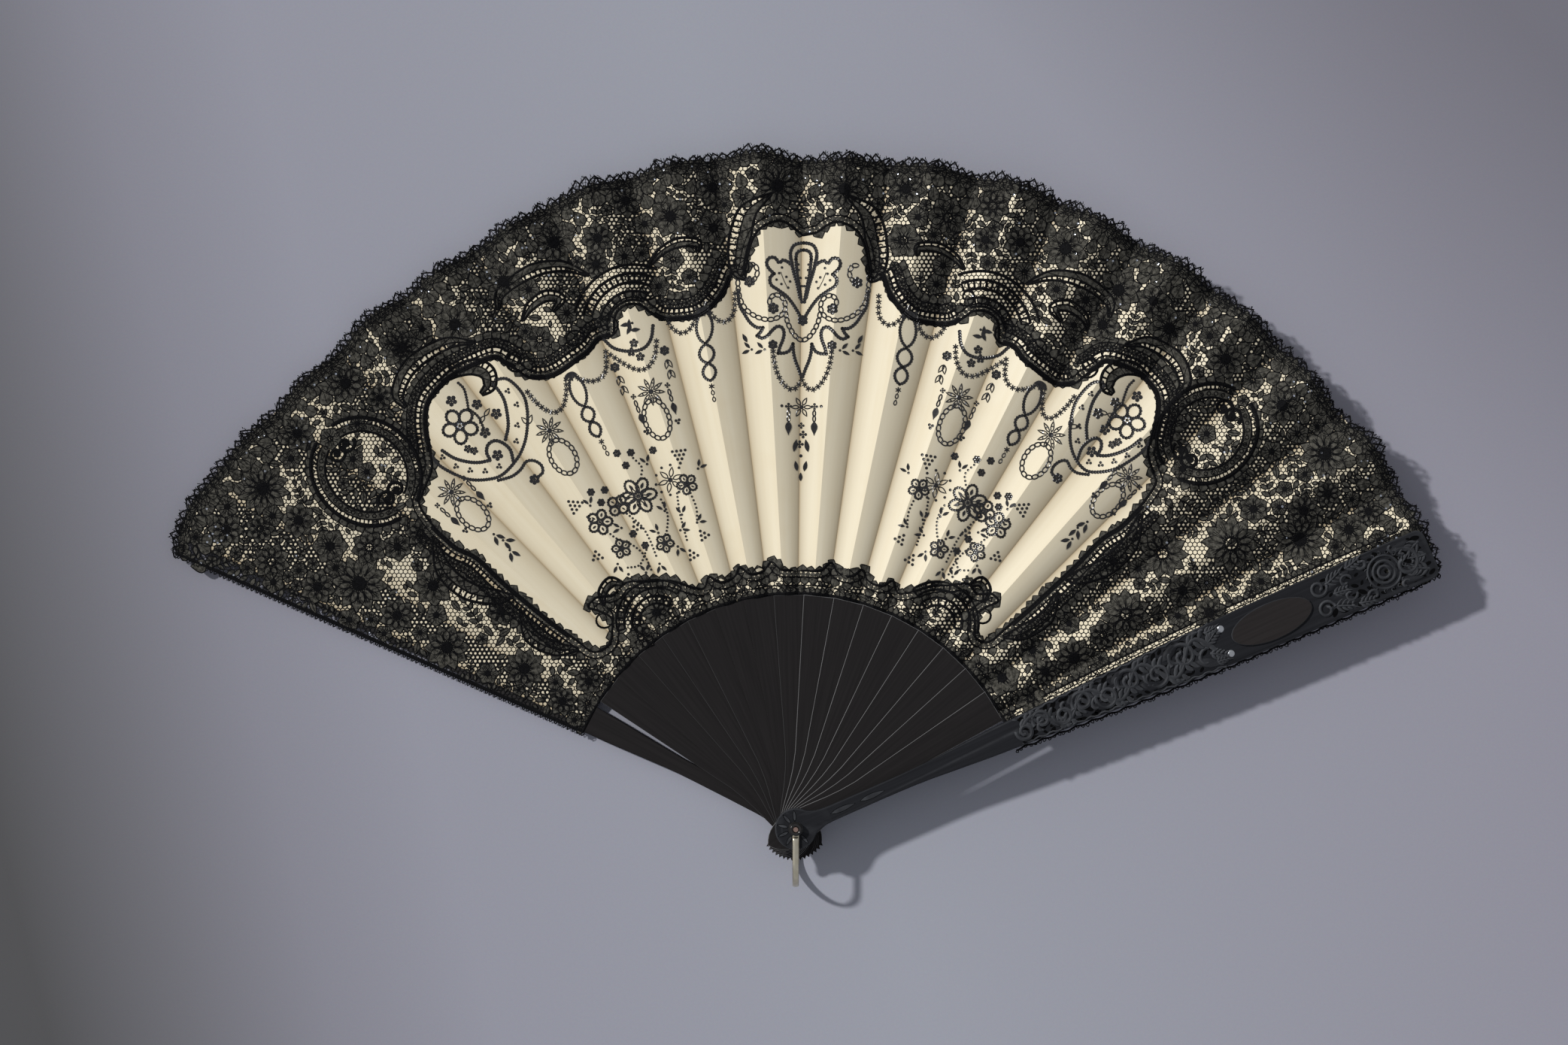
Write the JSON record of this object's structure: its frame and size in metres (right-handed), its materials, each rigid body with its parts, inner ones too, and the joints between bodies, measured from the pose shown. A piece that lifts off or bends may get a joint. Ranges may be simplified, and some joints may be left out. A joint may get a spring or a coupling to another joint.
{
  "type": "folding fan",
  "caption": "Folding fan with ebony sticks on one rivet, a carved front guard, a pleated silk leaf under black lace, and a swinging bail.",
  "frame": {"origin": "on the rivet's axis, at the flat back face of the rivet's head", "axes": "+Z along the rivet towards the front of the fan, +Y up the middle of the open fan, +X to the right seen from the front"},
  "size_m": [0.64, 0.376, 0.0298],
  "materials": {
    "ebony": "black ebony, oiled and rubbed to a soft polish",
    "carved_ebony": "carved black ebony, dull in the hollows",
    "silk": "cream silk satin",
    "black_lace": "black bobbin lace with a raised outline thread",
    "sequins": "black sequins and beads sewn on with thread",
    "stud_silver": "small silvered studs",
    "rivet_metal": "copper-coloured rivet, rubbed",
    "collar_black": "polished black horn",
    "bail_metal": "worn nickel silver with a yellow cast"
  },
  "bodies": {
    "back_guard": {"back_guard": "ebony", "rivet_pin": "rivet_metal", "front_collar": "collar_black", "front_washer": "collar_black", "leaf_panel_00": "silk"},
    "front_guard": {"front_guard": "carved_ebony", "left_stud": "stud_silver", "right_stud": "stud_silver", "leaf_panel_17": "silk"},
    "stick_01": {"stick_01": "ebony", "leaf_panel_01": "silk"},
    "stick_02": {"stick_02": "ebony", "leaf_panel_02": "silk"},
    "stick_03": {"stick_03": "ebony", "leaf_panel_03": "silk"},
    "stick_04": {"stick_04": "ebony", "leaf_panel_04": "silk"},
    "stick_05": {"stick_05": "ebony", "leaf_panel_05": "silk"},
    "stick_06": {"stick_06": "ebony", "leaf_panel_06": "silk"},
    "stick_07": {"stick_07": "ebony", "leaf_panel_07": "silk"},
    "stick_08": {"stick_08": "ebony", "leaf_panel_08": "silk"},
    "stick_09": {"stick_09": "ebony", "leaf_panel_09": "silk"},
    "stick_10": {"stick_10": "ebony", "leaf_panel_10": "silk"},
    "stick_11": {"stick_11": "ebony", "leaf_panel_11": "silk"},
    "stick_12": {"stick_12": "ebony", "leaf_panel_12": "silk"},
    "stick_13": {"stick_13": "ebony", "leaf_panel_13": "silk"},
    "stick_14": {"stick_14": "ebony", "leaf_panel_14": "silk"},
    "stick_15": {"stick_15": "ebony", "leaf_panel_15": "silk"},
    "stick_16": {"stick_16": "ebony", "leaf_panel_16": "silk"},
    "fold_00": {"leaf_fold_00": "silk"},
    "fold_01": {"leaf_fold_01": "silk"},
    "fold_02": {"leaf_fold_02": "silk"},
    "fold_03": {"leaf_fold_03": "silk"},
    "fold_04": {"leaf_fold_04": "silk"},
    "fold_05": {"leaf_fold_05": "silk"},
    "fold_06": {"leaf_fold_06": "silk"},
    "fold_07": {"leaf_fold_07": "silk"},
    "fold_08": {"leaf_fold_08": "silk"},
    "fold_09": {"leaf_fold_09": "silk"},
    "fold_10": {"leaf_fold_10": "silk"},
    "fold_11": {"leaf_fold_11": "silk"},
    "fold_12": {"leaf_fold_12": "silk"},
    "fold_13": {"leaf_fold_13": "silk"},
    "fold_14": {"leaf_fold_14": "silk"},
    "fold_15": {"leaf_fold_15": "silk"},
    "fold_16": {"leaf_fold_16": "silk"},
    "bail": {"bail": "bail_metal"}
  },
  "joints": [
    {"name": "fan_close", "type": "hinge", "parent": "back_guard", "child": "front_guard", "pos_m": [0, 0, 0.02], "axis": [0, 0, 1], "range_deg": [0, 129.2]},
    {"name": "stick_01_turn", "type": "hinge", "parent": "back_guard", "child": "stick_01", "pos_m": [0, 0, 0.01], "axis": [0, 0, 1], "range_deg": [0, 9.41]},
    {"name": "stick_02_turn", "type": "hinge", "parent": "back_guard", "child": "stick_02", "pos_m": [0, 0, 0.01], "axis": [0, 0, 1], "range_deg": [0, 16.86]},
    {"name": "stick_03_turn", "type": "hinge", "parent": "back_guard", "child": "stick_03", "pos_m": [0, 0, 0.01], "axis": [0, 0, 1], "range_deg": [0, 24.31]},
    {"name": "stick_04_turn", "type": "hinge", "parent": "back_guard", "child": "stick_04", "pos_m": [0, 0, 0.01], "axis": [0, 0, 1], "range_deg": [0, 31.76]},
    {"name": "stick_05_turn", "type": "hinge", "parent": "back_guard", "child": "stick_05", "pos_m": [0, 0, 0.01], "axis": [0, 0, 1], "range_deg": [0, 39.21]},
    {"name": "stick_06_turn", "type": "hinge", "parent": "back_guard", "child": "stick_06", "pos_m": [0, 0, 0.01], "axis": [0, 0, 1], "range_deg": [0, 46.66]},
    {"name": "stick_07_turn", "type": "hinge", "parent": "back_guard", "child": "stick_07", "pos_m": [0, 0, 0.01], "axis": [0, 0, 1], "range_deg": [0, 54.11]},
    {"name": "stick_08_turn", "type": "hinge", "parent": "back_guard", "child": "stick_08", "pos_m": [0, 0, 0.01], "axis": [0, 0, 1], "range_deg": [0, 61.56]},
    {"name": "stick_09_turn", "type": "hinge", "parent": "back_guard", "child": "stick_09", "pos_m": [0, 0, 0.01], "axis": [0, 0, 1], "range_deg": [0, 69.01]},
    {"name": "stick_10_turn", "type": "hinge", "parent": "back_guard", "child": "stick_10", "pos_m": [0, 0, 0.01], "axis": [0, 0, 1], "range_deg": [0, 76.46]},
    {"name": "stick_11_turn", "type": "hinge", "parent": "back_guard", "child": "stick_11", "pos_m": [0, 0, 0.01], "axis": [0, 0, 1], "range_deg": [0, 83.91]},
    {"name": "stick_12_turn", "type": "hinge", "parent": "back_guard", "child": "stick_12", "pos_m": [0, 0, 0.01], "axis": [0, 0, 1], "range_deg": [0, 91.36]},
    {"name": "stick_13_turn", "type": "hinge", "parent": "back_guard", "child": "stick_13", "pos_m": [0, 0, 0.01], "axis": [0, 0, 1], "range_deg": [0, 98.81]},
    {"name": "stick_14_turn", "type": "hinge", "parent": "back_guard", "child": "stick_14", "pos_m": [0, 0, 0.01], "axis": [0, 0, 1], "range_deg": [0, 106.26]},
    {"name": "stick_15_turn", "type": "hinge", "parent": "back_guard", "child": "stick_15", "pos_m": [0, 0, 0.01], "axis": [0, 0, 1], "range_deg": [0, 113.71]},
    {"name": "stick_16_turn", "type": "hinge", "parent": "back_guard", "child": "stick_16", "pos_m": [0, 0, 0.01], "axis": [0, 0, 1], "range_deg": [0, 121.16]},
    {"name": "fold_00_bend", "type": "hinge", "parent": "back_guard", "child": "fold_00", "pos_m": [0, 0, 0.00473], "axis": [0.8669, -0.4985, 0], "range_deg": [0, 172.27], "deforming": ["leaf_fold_00"]},
    {"name": "fold_01_bend", "type": "hinge", "parent": "stick_01", "child": "fold_01", "pos_m": [0.00003, 0.00004, 0.00691], "axis": [0.783, -0.622, 0.0046], "range_deg": [0, 161.5], "deforming": ["leaf_fold_01"]},
    {"name": "fold_02_bend", "type": "hinge", "parent": "stick_02", "child": "fold_02", "pos_m": [0.00003, 0.00003, 0.00796], "axis": [0.6958, -0.7183, 0.0046], "range_deg": [0, 161.5], "deforming": ["leaf_fold_02"]},
    {"name": "fold_03_bend", "type": "hinge", "parent": "stick_03", "child": "fold_03", "pos_m": [0.00004, 0.00003, 0.00901], "axis": [0.5968, -0.8024, 0.0046], "range_deg": [0, 161.5], "deforming": ["leaf_fold_03"]},
    {"name": "fold_04_bend", "type": "hinge", "parent": "stick_04", "child": "fold_04", "pos_m": [0.00004, 0.00002, 0.01006], "axis": [0.4877, -0.873, 0.0046], "range_deg": [0, 161.5], "deforming": ["leaf_fold_04"]},
    {"name": "fold_05_bend", "type": "hinge", "parent": "stick_05", "child": "fold_05", "pos_m": [0.00004, 0.00002, 0.01111], "axis": [0.3704, -0.9289, 0.0046], "range_deg": [0, 161.5], "deforming": ["leaf_fold_05"]},
    {"name": "fold_06_bend", "type": "hinge", "parent": "stick_06", "child": "fold_06", "pos_m": [0.00005, 0.00001, 0.01216], "axis": [0.2468, -0.9691, 0.0046], "range_deg": [0, 161.5], "deforming": ["leaf_fold_06"]},
    {"name": "fold_07_bend", "type": "hinge", "parent": "stick_07", "child": "fold_07", "pos_m": [0.00005, 0.00001, 0.01321], "axis": [0.1191, -0.9929, 0.0046], "range_deg": [0, 161.5], "deforming": ["leaf_fold_07"]},
    {"name": "fold_08_bend", "type": "hinge", "parent": "stick_08", "child": "fold_08", "pos_m": [0.00005, 0, 0.01426], "axis": [-0.0107, -0.9999, 0.0046], "range_deg": [0, 161.5], "deforming": ["leaf_fold_08"]},
    {"name": "fold_09_bend", "type": "hinge", "parent": "stick_09", "child": "fold_09", "pos_m": [0.00005, -0.00001, 0.01531], "axis": [-0.1402, -0.9901, 0.0046], "range_deg": [0, 161.5], "deforming": ["leaf_fold_09"]},
    {"name": "fold_10_bend", "type": "hinge", "parent": "stick_10", "child": "fold_10", "pos_m": [0.00005, -0.00001, 0.01636], "axis": [-0.2674, -0.9636, 0.0046], "range_deg": [0, 161.5], "deforming": ["leaf_fold_10"]},
    {"name": "fold_11_bend", "type": "hinge", "parent": "stick_11", "child": "fold_11", "pos_m": [0.00004, -0.00002, 0.01741], "axis": [-0.3901, -0.9208, 0.0046], "range_deg": [0, 161.5], "deforming": ["leaf_fold_11"]},
    {"name": "fold_12_bend", "type": "hinge", "parent": "stick_12", "child": "fold_12", "pos_m": [0.00004, -0.00002, 0.01846], "axis": [-0.5062, -0.8624, 0.0046], "range_deg": [0, 161.5], "deforming": ["leaf_fold_12"]},
    {"name": "fold_13_bend", "type": "hinge", "parent": "stick_13", "child": "fold_13", "pos_m": [0.00004, -0.00003, 0.01951], "axis": [-0.6138, -0.7895, 0.0046], "range_deg": [0, 161.5], "deforming": ["leaf_fold_13"]},
    {"name": "fold_14_bend", "type": "hinge", "parent": "stick_14", "child": "fold_14", "pos_m": [0.00003, -0.00003, 0.02056], "axis": [-0.7109, -0.7032, 0.0046], "range_deg": [0, 161.5], "deforming": ["leaf_fold_14"]},
    {"name": "fold_15_bend", "type": "hinge", "parent": "stick_15", "child": "fold_15", "pos_m": [0.00003, -0.00004, 0.02161], "axis": [-0.7961, -0.6051, 0.0046], "range_deg": [0, 161.5], "deforming": ["leaf_fold_15"]},
    {"name": "fold_16_bend", "type": "hinge", "parent": "stick_16", "child": "fold_16", "pos_m": [0.00002, -0.00004, 0.02266], "axis": [-0.8679, -0.4968, 0.0046], "range_deg": [0, 161.63], "deforming": ["leaf_fold_16"]},
    {"name": "bail_swing", "type": "hinge", "parent": "back_guard", "child": "bail", "pos_m": [0, 0, 0.014], "axis": [0, 0, 1], "range_deg": [-85, 85]}
  ],
  "couplings": [
    {"joint": "stick_01_turn", "follows": "fan_close", "ratio": 0.072755},
    {"joint": "stick_02_turn", "follows": "fan_close", "ratio": 0.13042},
    {"joint": "stick_03_turn", "follows": "fan_close", "ratio": 0.18808},
    {"joint": "stick_04_turn", "follows": "fan_close", "ratio": 0.24574},
    {"joint": "stick_05_turn", "follows": "fan_close", "ratio": 0.30341},
    {"joint": "stick_06_turn", "follows": "fan_close", "ratio": 0.36107},
    {"joint": "stick_07_turn", "follows": "fan_close", "ratio": 0.41873},
    {"joint": "stick_08_turn", "follows": "fan_close", "ratio": 0.47639},
    {"joint": "stick_09_turn", "follows": "fan_close", "ratio": 0.53406},
    {"joint": "stick_10_turn", "follows": "fan_close", "ratio": 0.59172},
    {"joint": "stick_11_turn", "follows": "fan_close", "ratio": 0.64938},
    {"joint": "stick_12_turn", "follows": "fan_close", "ratio": 0.70704},
    {"joint": "stick_13_turn", "follows": "fan_close", "ratio": 0.76471},
    {"joint": "stick_14_turn", "follows": "fan_close", "ratio": 0.82237},
    {"joint": "stick_15_turn", "follows": "fan_close", "ratio": 0.88003},
    {"joint": "stick_16_turn", "follows": "fan_close", "ratio": 0.93769},
    {"joint": "fold_00_bend", "follows": "fan_close", "ratio": 1.3332},
    {"joint": "fold_01_bend", "follows": "fan_close", "ratio": 1.2498},
    {"joint": "fold_02_bend", "follows": "fan_close", "ratio": 1.2498},
    {"joint": "fold_03_bend", "follows": "fan_close", "ratio": 1.2498},
    {"joint": "fold_04_bend", "follows": "fan_close", "ratio": 1.2498},
    {"joint": "fold_05_bend", "follows": "fan_close", "ratio": 1.2498},
    {"joint": "fold_06_bend", "follows": "fan_close", "ratio": 1.2498},
    {"joint": "fold_07_bend", "follows": "fan_close", "ratio": 1.2498},
    {"joint": "fold_08_bend", "follows": "fan_close", "ratio": 1.2498},
    {"joint": "fold_09_bend", "follows": "fan_close", "ratio": 1.2498},
    {"joint": "fold_10_bend", "follows": "fan_close", "ratio": 1.2498},
    {"joint": "fold_11_bend", "follows": "fan_close", "ratio": 1.2498},
    {"joint": "fold_12_bend", "follows": "fan_close", "ratio": 1.2498},
    {"joint": "fold_13_bend", "follows": "fan_close", "ratio": 1.2498},
    {"joint": "fold_14_bend", "follows": "fan_close", "ratio": 1.2498},
    {"joint": "fold_15_bend", "follows": "fan_close", "ratio": 1.2498},
    {"joint": "fold_16_bend", "follows": "fan_close", "ratio": 1.2509}
  ]
}
